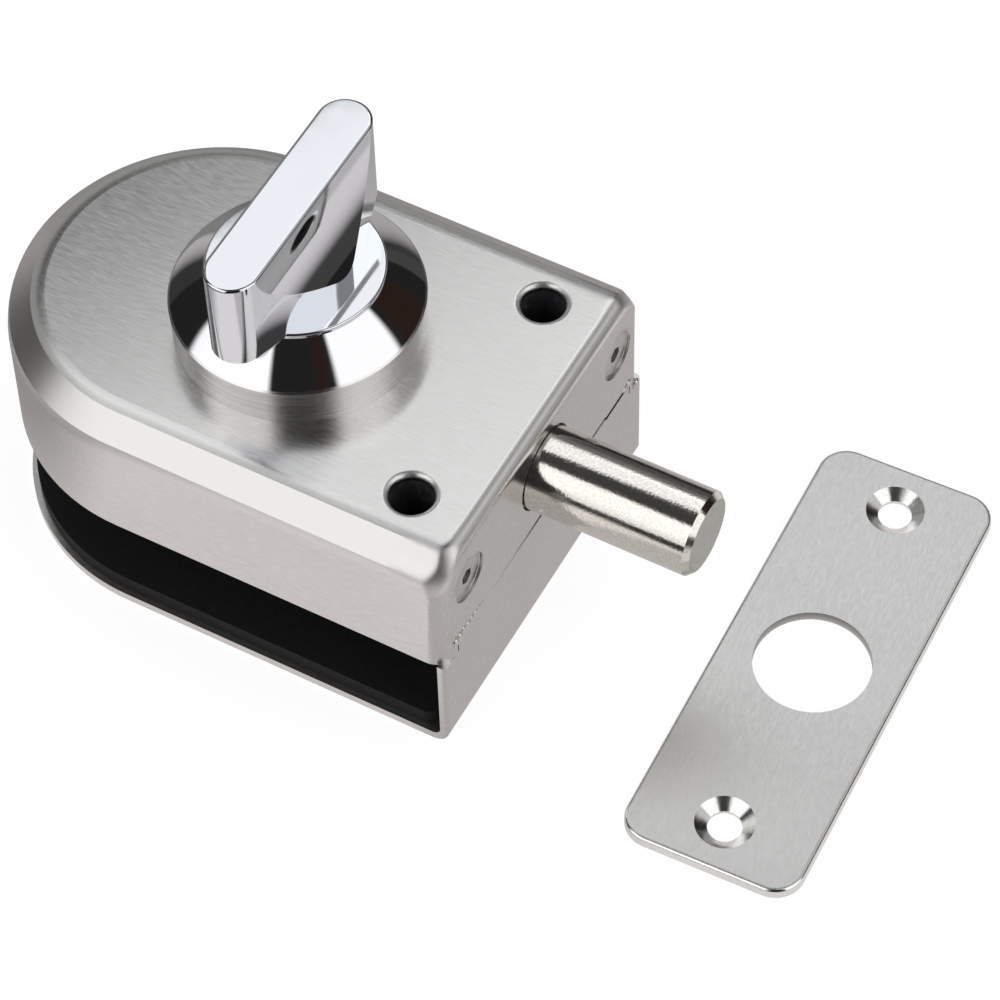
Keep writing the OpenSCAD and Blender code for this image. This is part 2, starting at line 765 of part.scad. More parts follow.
// What rounds the upper edge of the grip and leaves its sides alone
module grip_envelope() {
    top_half = grip_w / 2 + scoop_r - sqrt(scoop_r * scoop_r - pow(scoop_rise + 2 * grip_edge_r, 2)) + 0.02;
    translate([-grip_foot_w, -grip_l, 0]) cube([2 * grip_foot_w, 2 * grip_l, grip_top - 1.8 * grip_edge_r]);
    translate([0, 0, grip_top - 2 * grip_edge_r]) rotate([0, 0, 90])
        soft_plate(grip_l + 0.04, 2 * top_half, 2 * grip_edge_r, top_half, grip_edge_r);
}

// Round bar with two flats, as the spindle has inside the knob and the pinion
module drive_outline(gap) {
    intersection() {
        circle(d = spindle_d + 2 * gap);
        square([spindle_flats + 2 * gap, spindle_d + 1], center = true);
    }
}

module spindle() {
    clip_top = hub_z - washer_t - 2 * axial_play;
    color([0.7, 0.7, 0.72]) knob_place() difference() {
        union() {
            translate([0, 0, lid_z + loose_fit]) cylinder(d = spindle_flats, h = gear_z - lid_z);
            translate([0, 0, gear_z]) linear_extrude(gear_t) drive_outline(0);
            translate([0, 0, gear_z + gear_t])
                cylinder(d = spindle_d, h = knob_z - gear_z - gear_t);
            translate([0, 0, knob_z]) linear_extrude(spindle_top - knob_z) drive_outline(0);
        }
        translate([0, 0, clip_top - clip_t - axial_play]) difference() {
            cylinder(d = spindle_d + 2, h = clip_t + 2 * axial_play);
            translate([0, 0, -cut]) cylinder(r = groove_r, h = clip_t + 2 * cut);
        }
    }
}

// Points of one involute flank, from the base circle or the root to the tip
function involute(b, t) = [b * (cos(t) + t * PI / 180 * sin(t)), b * (sin(t) - t * PI / 180 * cos(t))];
function roll_at(r) = sqrt(max(r * r / (base_r * base_r) - 1, 0)) * 180 / PI;
function inv_angle(r) = roll_at(r) - atan(roll_at(r) * PI / 180);
function turn(p, a) = [p[0] * cos(a) - p[1] * sin(a), p[0] * sin(a) + p[1] * cos(a)];

flank_steps = 6;
low_r = max(base_r, root_r);
half_tooth = 90 / pinion_teeth - (backlash / 4) / pitch_r * 180 / PI + inv_angle(pitch_r);
flank = [
    for (i = [0:flank_steps])
        let (r = low_r + (tip_r - low_r) * i / flank_steps)
            turn(involute(base_r, roll_at(r)), -half_tooth)
];
tooth = concat(
    [turn([root_r, 0], -half_tooth)],
    flank,
    [for (i = [flank_steps:-1:0]) [flank[i][0], -flank[i][1]]],
    [turn([root_r, 0], half_tooth)]
);

module pinion() {
    color([0.75, 0.62, 0.35]) knob_place() translate([0, 0, gear_z]) linear_extrude(gear_t)
        difference() {
            polygon([for (k = [0:pinion_teeth - 1], p = tooth) turn(p, k * 360 / pinion_teeth)]);
            drive_outline(seat_fit);
        }
}

module friction_washer() {
    color([0.85, 0.85, 0.8]) knob_place() translate([0, 0, hub_z - washer_t - axial_play])
        difference() {
            cylinder(r = hub_r - loose_fit, h = washer_t);
            translate([0, 0, -cut]) cylinder(d = spindle_d + 2 * run_fit, h = washer_t + 2 * cut);
        }
}

module spindle_clip() {
    color([0.3, 0.3, 0.32]) knob_place()
        translate([0, 0, hub_z - washer_t - clip_t - 2 * axial_play])
            rotate([0, 0, clip_mouth / 2]) rotate_extrude(angle = 360 - clip_mouth)
                translate([groove_r + seat_fit, 0]) square([clip_w, clip_t]);
}

// Bolt and its rack slide together

module bolt() {
    r = bolt_d / 2;
    nose = end_x + nose_gap - bolt_tail_x;
    tip = bolt_end_x - bolt_tail_x;
    color([0.86, 0.84, 0.78]) difference() {
        translate([bolt_tail_x, 0, bolt_z]) rotate([0, 90, 0]) rotate_extrude() polygon([
            [0, 0], [r, 0], [r, nose - relief_w], [r - relief_h, nose - relief_w],
            [r - relief_h, nose], [r, nose], [r, tip - bolt_bevel], [r - bolt_bevel, tip], [0, tip]
        ]);
        // flat under the tail, where the rack is screwed on
        translate([bolt_tail_x - cut, -bolt_d, flat_z - bolt_d])
            cube([flat_front_x - bolt_tail_x + cut, 2 * bolt_d, bolt_d]);
        // slot that straddles the spindle
        translate([0, 0, bolt_z - bolt_d]) linear_extrude(2 * bolt_d) {
            translate([knob_x - slot_gap, -slot_half])
                square([throw + 2 * slot_gap, 2 * slot_half]);
            translate([knob_x - slot_gap, 0]) circle(r = slot_half);
            translate([knob_x + throw + slot_gap, 0]) circle(r = slot_half);
        }
        rack_screw_place() cylinder(d = rack_screw_d + 2 * seat_fit, h = rack_screw_l + cut);
    }
}

module rack_screw_place() {
    translate([(bolt_tail_x + arm_front_x) / 2, 0, gear_z]) children();
}

module rack() {
    half_gap = tooth_pitch / 4 + backlash / 4;
    slope = tan(pressure_angle);
    color([0.6, 0.6, 0.6]) difference() {
        union() {
            translate([0, 0, gear_z]) linear_extrude(gear_t) difference() {
                polygon([
                    [bolt_tail_x, -arm_y], [arm_front_x, -arm_y], [arm_front_x, rack_tip_y],
                    [rack_front_x, rack_tip_y], [rack_front_x, rack_back_y],
                    [bolt_tail_x + rack_chamfer, rack_back_y], [bolt_tail_x, rack_back_y - rack_chamfer]
                ]);
                for (n = [rack_first:rack_last]) {
                    translate([knob_x + n * tooth_pitch, 0]) polygon([
                        [-half_gap + (rack_root_y - pitch_r) * slope, rack_root_y],
                        [half_gap - (rack_root_y - pitch_r) * slope, rack_root_y],
                        [half_gap + (pitch_r - rack_tip_y + cut) * slope, rack_tip_y - cut],
                        [-half_gap - (pitch_r - rack_tip_y + cut) * slope, rack_tip_y - cut]
                    ]);
                }
            }
            // pad of the arm that meets the flat of the bolt
            translate([bolt_tail_x, -arm_y, gear_z])
                cube([arm_front_x - bolt_tail_x, 2 * arm_y, flat_z - gear_z]);
        }
        rack_screw_place() mirror([0, 0, 1])
            sunk_hole(rack_screw_d, rack_screw_head_d, 2 * gear_t, seat_fit);
    }
}

module rack_screw() {
    color([0.6, 0.6, 0.62]) rack_screw_place() mirror([0, 0, 1])
        sunk_screw(rack_screw_d, rack_screw_head_d, rack_screw_l, rack_screw_key);
}

// Clamp: plate, pad, guide pins and the two screws that press them down

module pressure_plate() {
    color([0.62, 0.62, 0.62]) difference() {
        translate([0, 0, press_z]) linear_extrude(press_t)
            d_outline(body_r - sheet_t - 2 * loose_fit, inner_end - edge_pad_t - loose_fit, pad_corner_r);
        for (s = [-1, 1]) {
            translate([guide_x, s * guide_y, 0]) cylinder(d = guide_d + 2 * seat_fit, h = body_h);
        }
    }
}

module upper_pad() {
    color([0.09, 0.09, 0.09]) translate([0, 0, upper_pad_z]) linear_extrude(upper_pad_t)
        d_outline(body_r - sheet_t - 2 * loose_fit, inner_end - edge_pad_t - loose_fit, pad_corner_r);
}

module guide_pins() {
    color([0.7, 0.7, 0.72]) for (s = [-1, 1]) {
        translate([guide_x, s * guide_y, press_z]) union() {
            cylinder(d = guide_d, h = guide_l - guide_bevel);
            translate([0, 0, guide_l - guide_bevel])
                cylinder(d1 = guide_d, d2 = guide_d - 2 * guide_bevel, h = guide_bevel);
        }
    }
}

module clamp_screw(s) {
    clamp_place(s) translate([0, 0, clamp_screw_z]) difference() {
        union() {
            cylinder(d1 = clamp_d - 2 * clamp_bevel, d2 = clamp_d, h = clamp_bevel);
            translate([0, 0, clamp_bevel]) cylinder(d = clamp_d, h = clamp_l - 2 * clamp_bevel);
            translate([0, 0, clamp_l - clamp_bevel])
                cylinder(d1 = clamp_d, d2 = clamp_d - 2 * clamp_bevel, h = clamp_bevel);
        }
        translate([0, 0, clamp_l - 1.2 * clamp_key])
            cylinder(d = clamp_key / cos(30), h = 2 * clamp_key, $fn = 6);
    }
}

module clamp_screw_near() {
    color([0.2, 0.2, 0.21]) clamp_screw(-1);
}

module clamp_screw_far() {
    color([0.2, 0.2, 0.21]) clamp_screw(1);
}

// Strike plate for the floor or the second door, lying beside the lock
module strike_plate() {
    color([0.86, 0.84, 0.82]) translate([strike_x, strike_y, 0]) rotate([0, 0, strike_turn])
        difference() {
            soft_plate(strike_w, strike_l, strike_t, strike_corner_r, strike_edge_r);
            translate([0, 0, -cut]) cylinder(d = strike_hole_d, h = strike_t + 2 * cut);
            for (s = [-1, 1]) translate([0, s * strike_pitch / 2, 0]) {
                translate([0, 0, -cut]) cylinder(d = strike_screw_d, h = strike_t + 2 * cut);
                translate([0, 0, strike_t - strike_sink_h])
                    cylinder(d1 = strike_screw_d, d2 = strike_sink_d, h = strike_sink_h);
                translate([0, 0, strike_t]) cylinder(d = strike_sink_d, h = cut);
            }
        }
}

back_plate();
lower_pad();
edge_pad();
cover();
end_screws();
lock_case();
bolt_bush();
case_lid();
lid_screws();
rosette_ring();
rosette_screws();
rosette_dome();
knob();
spindle();
pinion();
friction_washer();
spindle_clip();
bolt();
rack();
rack_screw();
pressure_plate();
upper_pad();
guide_pins();
clamp_screw_near();
clamp_screw_far();
strike_plate();
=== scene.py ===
"""Studio shot of a clamp-on bolt lock for a glass door, with its strike plate beside it.

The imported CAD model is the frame. The sections follow the lock as it is put together.
"""

import json
from math import atan2, cos, pi, radians, sin

import bpy
from mathutils import Matrix, Vector


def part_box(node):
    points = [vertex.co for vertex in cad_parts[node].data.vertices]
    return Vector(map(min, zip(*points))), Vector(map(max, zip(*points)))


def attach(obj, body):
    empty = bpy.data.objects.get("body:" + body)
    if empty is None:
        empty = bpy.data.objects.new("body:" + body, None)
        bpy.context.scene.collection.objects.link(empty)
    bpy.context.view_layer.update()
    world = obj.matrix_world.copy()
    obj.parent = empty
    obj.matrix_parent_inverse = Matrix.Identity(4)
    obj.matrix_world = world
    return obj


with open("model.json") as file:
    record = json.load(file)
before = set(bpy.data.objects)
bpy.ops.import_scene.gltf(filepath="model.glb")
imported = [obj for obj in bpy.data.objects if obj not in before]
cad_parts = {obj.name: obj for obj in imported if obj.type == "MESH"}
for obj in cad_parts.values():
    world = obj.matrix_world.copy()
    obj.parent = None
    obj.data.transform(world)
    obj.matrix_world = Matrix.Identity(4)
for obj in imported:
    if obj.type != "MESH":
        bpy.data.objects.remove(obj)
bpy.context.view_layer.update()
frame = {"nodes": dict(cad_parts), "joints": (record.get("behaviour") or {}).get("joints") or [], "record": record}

# Camera: on a tripod, looking down at the corner between the bolt face and the near side.
# A long lens from two thirds of a metre, and the head leans a little to one side.

mm = 0.001
camera_target = Vector((50.73, 0.19, 20.0)) * mm
camera_distance = 659.24 * mm
camera_elevation = radians(53.55)
camera_azimuth = radians(30.04)
camera_lean = radians(1.77)
sensor_width = 36
focal_length = 151.4
nearest_seen, farthest_seen = 0.05, 50

camera_back = Vector((
    sin(camera_azimuth) * cos(camera_elevation),
    -cos(camera_azimuth) * cos(camera_elevation),
    sin(camera_elevation),
))
camera_right = Vector((cos(camera_azimuth), sin(camera_azimuth), 0))
camera_up = camera_back.cross(camera_right)
leaning_right = cos(camera_lean) * camera_right - sin(camera_lean) * camera_up
leaning_up = sin(camera_lean) * camera_right + cos(camera_lean) * camera_up

camera_data = bpy.data.cameras.new("studio_camera")
camera_data.sensor_width = sensor_width
camera_data.lens = focal_length
camera_data.clip_start = nearest_seen
camera_data.clip_end = farthest_seen
camera = bpy.data.objects.new("studio_camera", camera_data)
bpy.context.scene.collection.objects.link(camera)
axes = Matrix((leaning_right, leaning_up, camera_back)).transposed().to_4x4()
camera.matrix_world = Matrix.Translation(camera_target + camera_back * camera_distance) @ axes
bpy.context.scene.camera = camera
bpy.context.scene.view_settings.view_transform = "Standard"

# Table: a matt white top that keeps the soft shadow of the lock. The camera sees it white.
# Bare metal sees a glow painted on it place by place, a painted reflection: bright beside the lock,
# greyer behind it, at the bolt end and to the left, nearly black far away, and painted shade in the bolt hole of
# the strike plate.

table_radius = 6
table_gap = 0.02 * mm
table_colour = (0.42, 0.42, 0.42)
table_glow = 0.84
sheen_colour = (1.0, 0.955, 0.945)
near_sheen, rear_sheen = 0.82, 0.4
bolt_sheen, strike_sheen = 0.53, 0.72
outer_left_sheen = 0.45
round_end_share, far_share, hole_painted_shade = 0.5, 0.08, 0.25
# Where each change of brightness starts and ends.
near_to_rear = (-60 * mm, 80 * mm)
round_end_fade = (-44 * mm, -18 * mm)
bolt_end_fade = (48 * mm, 60 * mm)
bolt_to_strike = (84 * mm, 98 * mm)
outer_left_fade = (-100 * mm, -125 * mm)
far_fade = (140 * mm, 360 * mm)
hole_blur = 1.5 * mm


def new_tree(data):
    data.use_nodes = True
    data.node_tree.nodes.clear()
    return data.node_tree


def add_node(tree, kind, **values):
    made = tree.nodes.new(kind)
    for name, value in values.items():
        setattr(made, name, value)
    return made


def maths(tree, operation, *inputs):
    made = add_node(tree, "ShaderNodeMath", operation=operation)
    for socket, value in zip(made.inputs, inputs):
        if isinstance(value, (int, float)):
            socket.default_value = value
        else:
            tree.links.new(value, socket)
    return made.outputs[0]


def ramp(tree, value, start, end, low=0.0, high=1.0, kind="SMOOTHSTEP"):
    """Runs from low to high while the value goes from start to end."""
    made = add_node(tree, "ShaderNodeMapRange", interpolation_type=kind)
    tree.links.new(value, made.inputs["Value"])
    for name, number in zip(("From Min", "From Max", "To Min", "To Max"), (start, end, low, high)):
        made.inputs[name].default_value = number
    return made.outputs["Result"]


def blend(tree, factor, low, high):
    return maths(tree, "ADD", maths(tree, "MULTIPLY", maths(tree, "SUBTRACT", 1.0, factor), low),
                 maths(tree, "MULTIPLY", factor, high))


def distance(tree, place, point):
    """How far each place on a surface is from one point."""
    made = add_node(tree, "ShaderNodeVectorMath", operation="DISTANCE")
    tree.links.new(place, made.inputs[0])
    made.inputs[1].default_value = point
    return made.outputs["Value"]


bpy.ops.object.select_all(action="DESELECT")
bpy.ops.mesh.primitive_circle_add(vertices=96, radius=table_radius, fill_type="NGON",
                                  location=(0, 0, -table_gap))
table = bpy.context.object
table.name = "table"
table_paint = bpy.data.materials.new("white_table")
tree = new_tree(table_paint)
place = add_node(tree, "ShaderNodeTexCoord").outputs["Object"]
along = add_node(tree, "ShaderNodeSeparateXYZ")
tree.links.new(place, along.inputs[0])
x, y = along.outputs["X"], along.outputs["Y"]
# Painted reflection: how bright bare metal sees the table, place by place.
painted_reflection = maths(tree, "MULTIPLY",
                 ramp(tree, y, *near_to_rear, near_sheen, rear_sheen, "LINEAR"),
                 ramp(tree, x, *round_end_fade, round_end_share, 1.0, "LINEAR"))
painted_reflection = blend(tree, ramp(tree, x, *bolt_end_fade), painted_reflection,
                 ramp(tree, x, *bolt_to_strike, bolt_sheen, strike_sheen))
painted_reflection = blend(tree, ramp(tree, x, *outer_left_fade), painted_reflection, outer_left_sheen)
reach = distance(tree, place, (0, 0, 0))
painted_reflection = maths(tree, "MULTIPLY", painted_reflection, ramp(tree, reach, *far_fade, 1.0, far_share))
mounts = {mount["name"]: mount for mount in frame["record"]["mounts"]}
hole = mounts["strike_bolt_hole"]
hole_radius = hole["dims"]["r_mm"] * mm
from_hole = distance(tree, place, (hole["pos_m"][0], hole["pos_m"][1], 0))
# Painted shade in the bolt hole of the strike plate.
painted_reflection = maths(tree, "MULTIPLY", painted_reflection,
                 ramp(tree, from_hole, hole_radius - hole_blur, hole_radius + hole_blur, hole_painted_shade))
ray = add_node(tree, "ShaderNodeLightPath")
matt = add_node(tree, "ShaderNodeBsdfDiffuse")
matt.inputs["Color"].default_value = (*table_colour, 1)
glow = add_node(tree, "ShaderNodeEmission")
seen = maths(tree, "MAXIMUM", ray.outputs["Is Camera Ray"], ray.outputs["Is Transmission Ray"])
tree.links.new(maths(tree, "MULTIPLY", seen, table_glow), glow.inputs["Strength"])
white = add_node(tree, "ShaderNodeAddShader")
tree.links.new(matt.outputs[0], white.inputs[0])
tree.links.new(glow.outputs[0], white.inputs[1])
sheen = add_node(tree, "ShaderNodeEmission")
sheen.inputs["Color"].default_value = (*sheen_colour, 1)
tree.links.new(painted_reflection, sheen.inputs["Strength"])
either = add_node(tree, "ShaderNodeMixShader")
tree.links.new(ray.outputs["Is Glossy Ray"], either.inputs[0])
tree.links.new(white.outputs[0], either.inputs[1])
tree.links.new(sheen.outputs[0], either.inputs[2])
tree.links.new(either.outputs[0], add_node(tree, "ShaderNodeOutputMaterial").inputs["Surface"])
table.data.materials.append(table_paint)

# Room: a dark studio with a white panel on each side of the tripod, which polished metal shows
# as white fields with a dark column between them, a brown board at two places, and grey walls
# behind the lock. The camera itself sees white.

room_dark, ceiling_dark = 0.015, 0.05
ceiling_fade = (0.75, 0.95)
board_level, board_colour = 0.024, (1, 0.55, 0.45)
left_wall_level = 0.25
left_panel_foot, left_panel_head, right_panel_level = 0.98, 1.25, 1.12
left_panel_fade = (0.2, 0.5)
# Each part of the room has its two bearings and its two heights, in degrees, and a grey wall its
# brightness too. The left wall is in two halves, because bearings jump there from 180 to -180.
upright_board, low_board = ((-48, -36), (2, 60)), ((30, 66), (8, 23))
left_wall_rear, left_wall_near = ((166, 186), (17, 40)), ((-186, -164), (21, 40))
left_panel, right_panel = ((-151, -86), (7, 58)), ((-30, 24), (4, 68))
grey_walls = (
    ((76, 112), (5, 26), 0.08),
    ((24, 112), (44, 66), 0.3),
    ((26, 72), (27, 46), 0.6),
    ((112, 165), (1, 38), 0.3),
    ((150, 176), (34, 58), 0.2),
    ((98, 128), (22, 37), 0.15),
    ((98, 128), (37, 44), 0.6),
)

world = bpy.data.worlds.new("studio_room")
bpy.context.scene.world = world
tree = new_tree(world)
toward = add_node(tree, "ShaderNodeSeparateXYZ")
tree.links.new(add_node(tree, "ShaderNodeTexCoord").outputs["Generated"], toward.inputs[0])
rise = toward.outputs["Z"]
bearing = maths(tree, "ARCTAN2", toward.outputs["Y"], toward.outputs["X"])


def tint(tree, factor, dark, light):
    mix = add_node(tree, "ShaderNodeMix", data_type="RGBA")
    tree.links.new(factor, mix.inputs["Factor"])
    mix.inputs["A"].default_value = (*dark, 1)
    mix.inputs["B"].default_value = (*light, 1)
    return mix.outputs["Result"]


def patch(bearings, heights, soft=3.0):
    """1 in the part of the room between two bearings and two heights, all in degrees."""
    first, last = bearings
    low, top = heights
    sides = maths(tree, "MULTIPLY",
                  ramp(tree, bearing, radians(first - soft), radians(first + soft)),
                  ramp(tree, bearing, radians(last + soft), radians(last - soft)))
    height = maths(tree, "MULTIPLY",
                   ramp(tree, rise, sin(radians(low - soft)), sin(radians(low + soft))),
                   ramp(tree, rise, sin(radians(top + soft)), sin(radians(top - soft))))
    return maths(tree, "MULTIPLY", sides, height)


level = ramp(tree, rise, *ceiling_fade, room_dark, ceiling_dark)
board = maths(tree, "MAXIMUM", patch(*upright_board), patch(*low_board))
level = blend(tree, board, level, board_level)
for bearings, heights, brightness in grey_walls:
    level = blend(tree, patch(bearings, heights), level, brightness)
left_wall = maths(tree, "MAXIMUM", patch(*left_wall_rear), patch(*left_wall_near))
level = blend(tree, left_wall, level, left_wall_level)
left_panel_level = ramp(tree, rise, *left_panel_fade, left_panel_foot, left_panel_head)
level = blend(tree, patch(*left_panel), level, left_panel_level)
level = blend(tree, patch(*right_panel), level, right_panel_level)
ray = add_node(tree, "ShaderNodeLightPath")
level = blend(tree, ray.outputs["Is Camera Ray"], level, 1.0)
sky = add_node(tree, "ShaderNodeBackground")
tree.links.new(tint(tree, board, (1, 1, 1), board_colour), sky.inputs["Color"])
tree.links.new(level, sky.inputs["Strength"])
tree.links.new(sky.outputs[0], add_node(tree, "ShaderNodeOutputWorld").inputs["Surface"])

# Softbox: one flat lamp overhead, behind the lock as the camera sees it. Its far edge fades out
# along the round end of the cover.

lamp_bearing = radians(151)
lamp_near, lamp_far = 120 * mm, 416 * mm
lamp_left, lamp_right = -200 * mm, 600 * mm
lamp_height = 600 * mm
lamp_watts = 0.8
lamp_colour = (0.97, 0.985, 1.0)

lamp_data = bpy.data.lights.new("overhead_softbox", "AREA")
lamp_data.shape = "RECTANGLE"
lamp_data.size = lamp_right - lamp_left
lamp_data.size_y = lamp_far - lamp_near
lamp_data.energy = lamp_watts
lamp_data.color = lamp_colour
lamp = bpy.data.objects.new("overhead_softbox", lamp_data)
bpy.context.scene.collection.objects.link(lamp)
outward = Vector((cos(lamp_bearing), sin(lamp_bearing), 0))
sideways = Vector((sin(lamp_bearing), -cos(lamp_bearing), 0))
lamp.location = (outward * (lamp_near + lamp_far) / 2 + sideways * (lamp_left + lamp_right) / 2
                 + Vector((0, 0, lamp_height)))
lamp.rotation_euler = (0, 0, lamp_bearing - pi / 2)
lamp.visible_camera = False

# Back plate: stainless sheet, cut to the outline of the cover and ground on a belt, with the
# lines along the bolt. Its end is bent up into a flange, where the lines run upright, and the
# flange is welded to the cover.

sheet_dark, sheet_light = (0.65, 0.64, 0.625), (0.79, 0.78, 0.765)
sheet_rough = (0.2, 0.26)
line_scale, cloud_scale = 8, 1
lines_along_bolt, lines_upright = (70, 640, 640), (640, 640, 70)
cloud_stretch = (30, 45, 45)
line_share, cloud_share = 0.8, 0.2
side_to_end = (0.6, 0.9)


def surface(name, colour=None, metallic=1.0):
    """A plain surface, bare metal unless told otherwise; a pattern is worked over it later."""
    made = bpy.data.materials.new(name)
    tree = new_tree(made)
    shader = add_node(tree, "ShaderNodeBsdfPrincipled")
    if colour:
        shader.inputs["Base Color"].default_value = (*colour, 1)
    shader.inputs["Metallic"].default_value = metallic
    tree.links.new(shader.outputs[0], add_node(tree, "ShaderNodeOutputMaterial").inputs["Surface"])
    return made, tree, shader


def grain(tree, scale, detail=3.0, stretch=(1, 1, 1), turn=(0, 0, 0)):
    """Noise on the piece's own coordinates, 0 to 1 round 0.5; stretch squeezes it along each axis."""
    place = add_node(tree, "ShaderNodeTexCoord").outputs["Object"]
    squeeze = add_node(tree, "ShaderNodeMapping", vector_type="TEXTURE")
    squeeze.inputs["Rotation"].default_value = turn
    squeeze.inputs["Scale"].default_value = [1 / factor for factor in stretch]
    tree.links.new(place, squeeze.inputs["Vector"])
    noise = add_node(tree, "ShaderNodeTexNoise")
    noise.inputs["Scale"].default_value = scale
    noise.inputs["Detail"].default_value = detail
    tree.links.new(squeeze.outputs["Vector"], noise.inputs["Vector"])
    return noise.outputs["Fac"]


def spread(tree, pattern, low, high, middle=(0.3, 0.7)):
    """Maps the middle of a noise to a range."""
    return ramp(tree, pattern, *middle, low, high, "LINEAR")


def colour_over(tree, shader, pattern, dark, light):
    """Varies the colour of a surface by a pattern."""
    tree.links.new(tint(tree, spread(tree, pattern, 0, 1), dark, light), shader.inputs["Base Color"])


def gloss_over(tree, shader, pattern, smooth, rough):
    """Varies the roughness of a surface by a pattern."""
    tree.links.new(spread(tree, pattern, smooth, rough), shader.inputs["Roughness"])


def relief(tree, shader, pattern, depth):
    """Raises the surface by a pattern, and returns the node that does it."""
    bump = add_node(tree, "ShaderNodeBump")
    bump.inputs["Distance"].default_value = depth
    tree.links.new(pattern, bump.inputs["Height"])
    tree.links.new(bump.outputs["Normal"], shader.inputs["Normal"])
    return bump


def facing(tree, axis):
    """How squarely the surface faces along an axis, either way: 0 to 1."""
    normal = add_node(tree, "ShaderNodeSeparateXYZ")
    tree.links.new(add_node(tree, "ShaderNodeNewGeometry").outputs["Normal"], normal.inputs[0])
    return maths(tree, "ABSOLUTE", normal.outputs[axis])


def across_grain(tree, along):
    """The direction in the surface that crosses the grinding lines: gloss spreads that way."""
    cross = add_node(tree, "ShaderNodeVectorMath", operation="CROSS_PRODUCT")
    tree.links.new(add_node(tree, "ShaderNodeNewGeometry").outputs["Normal"], cross.inputs[0])
    cross.inputs[1].default_value = along
    return cross.outputs["Vector"]


def brushed_steel(name, dark, light, rough, stretch=lines_along_bolt, along=(1, 0.02, 0),
                  turn=(0, 0, 0), depth=0.001 * mm):
    """Stainless sheet ground on a belt: fine lines one way, in colour, gloss and relief."""
    made, tree, shader = surface(name)
    shader.inputs["Anisotropic"].default_value = 0.55
    tree.links.new(across_grain(tree, along), shader.inputs["Tangent"])
    on_end = ramp(tree, facing(tree, "X"), *side_to_end)
    lines = blend(tree, on_end, grain(tree, line_scale, stretch=stretch, turn=turn),
                  grain(tree, line_scale, stretch=lines_upright))
    clouds = grain(tree, cloud_scale, detail=2, stretch=cloud_stretch, turn=turn)
    both = maths(tree, "MULTIPLY_ADD", lines, line_share,
                 maths(tree, "MULTIPLY", clouds, cloud_share))
    colour_over(tree, shader, both, dark, light)
    gloss_over(tree, shader, lines, *rough)
    relief(tree, shader, lines, depth)
    return made, tree, shader


def dress(name, made):
    """Gives a CAD node its finish."""
    piece = frame["nodes"][name]
    piece.data.materials.clear()
    piece.data.materials.append(made)


sheet, tree, shader = brushed_steel("brushed_sheet", sheet_dark, sheet_light, sheet_rough)
dress("back_plate", sheet)

# Rubber: moulded black pads that grip the glass. One is glued to the back plate, one to the
# flange, and one to the pressure plate.

rubber, tree, shader = surface("black_rubber", metallic=0.0)
shader.inputs["Specular IOR Level"].default_value = 0.3
speck = grain(tree, scale=2600, detail=4)
colour_over(tree, shader, speck, dark=(0.009, 0.009, 0.009), light=(0.022, 0.022, 0.022))
gloss_over(tree, shader, speck, smooth=0.62, rough=0.82)
relief(tree, shader, speck, depth=0.03 * mm)
for name in ("lower_pad", "upper_pad", "edge_pad"):
    dress(name, rubber)

# Cover: a stainless shell, drawn in a press and ground on a belt like the back plate. The belt
# leaves its shoulders duller than the flats, and rubs the two corners at the bolt end a little
# rounder. The shoulders are also painted paler: painted light that brightens their reflections.

shoulder_rough = 0.37
shoulder_painted_light = (0.885, 0.875, 0.855)
flat_to_shoulder, side_to_shoulder = (0.995, 0.96), (0.05, 0.35)
corner_inset = Vector((2.5, 2.8, 2.8)) * mm
corner_reach = (9 * mm, 5 * mm)
corner_radius = 2.0 * mm


def feed(shader, name):
    """What is plugged into one of the shader's sockets."""
    return shader.inputs[name].links[0].from_socket


drawn_sheet, tree, shader = brushed_steel("ground_shell", sheet_dark, sheet_light, sheet_rough)
tilt = facing(tree, "Z")
shoulder = maths(tree, "MULTIPLY", ramp(tree, tilt, *flat_to_shoulder),
                 ramp(tree, tilt, *side_to_shoulder))
dulled = blend(tree, shoulder, feed(shader, "Roughness"), shoulder_rough)
tree.links.new(dulled, shader.inputs["Roughness"])
# Painted light: the shoulders' colour is made paler, so that they reflect brighter.
painted_paler = add_node(tree, "ShaderNodeMix", data_type="RGBA")
tree.links.new(shoulder, painted_paler.inputs["Factor"])
tree.links.new(feed(shader, "Base Color"), painted_paler.inputs["A"])
painted_paler.inputs["B"].default_value = (*shoulder_painted_light, 1)
tree.links.new(painted_paler.outputs["Result"], shader.inputs["Base Color"])

place = add_node(tree, "ShaderNodeTexCoord").outputs["Object"]
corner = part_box("cover")[1] - corner_inset
near_corner = 0.0
for side in (-1, 1):
    gap = distance(tree, place, (corner.x, side * corner.y, corner.z))
    near_corner = maths(tree, "ADD", near_corner, ramp(tree, gap, *corner_reach))
rounder = add_node(tree, "ShaderNodeBevel", samples=8)
rounder.inputs["Radius"].default_value = corner_radius
rubbed = add_node(tree, "ShaderNodeMix", data_type="VECTOR")
tree.links.new(near_corner, rubbed.inputs["Factor"])
tree.links.new(add_node(tree, "ShaderNodeNewGeometry").outputs["Normal"], rubbed.inputs["A"])
tree.links.new(rounder.outputs["Normal"], rubbed.inputs["B"])
tree.links.new(rubbed.outputs["Result"], feed(shader, "Normal").node.inputs["Normal"])
dress("cover", drawn_sheet)

# Weld: the flange's tongue is joined to the bolt face by a short bead at each end. Each bead is
# dressed with a grinder until only the tops of its ripples are left.

bead_sunk = 0.05
bead_half_width = 0.85
# Each ripple's place along the face, height above the table, half height and how far it stands
# proud, in millimetres.
near_ripples = (
    (-28.8, 23.6, 0.9, 0.5), (-27.5, 23.4, 0.95, 0.4), (-26.2, 23.5, 1.0, 0.3),
    (-24.9, 23.3, 0.9, 0.32), (-23.7, 23.4, 0.85, 0.22), (-22.5, 23.3, 0.8, 0.26),
    (-21.4, 23.4, 0.7, 0.16), (-20.4, 23.3, 0.6, 0.14),
)
far_ripples = ((26.6, 23.3, 0.5, 0.2), (27.8, 23.4, 0.7, 0.35), (30.4, 20.5, 0.9, 0.5))

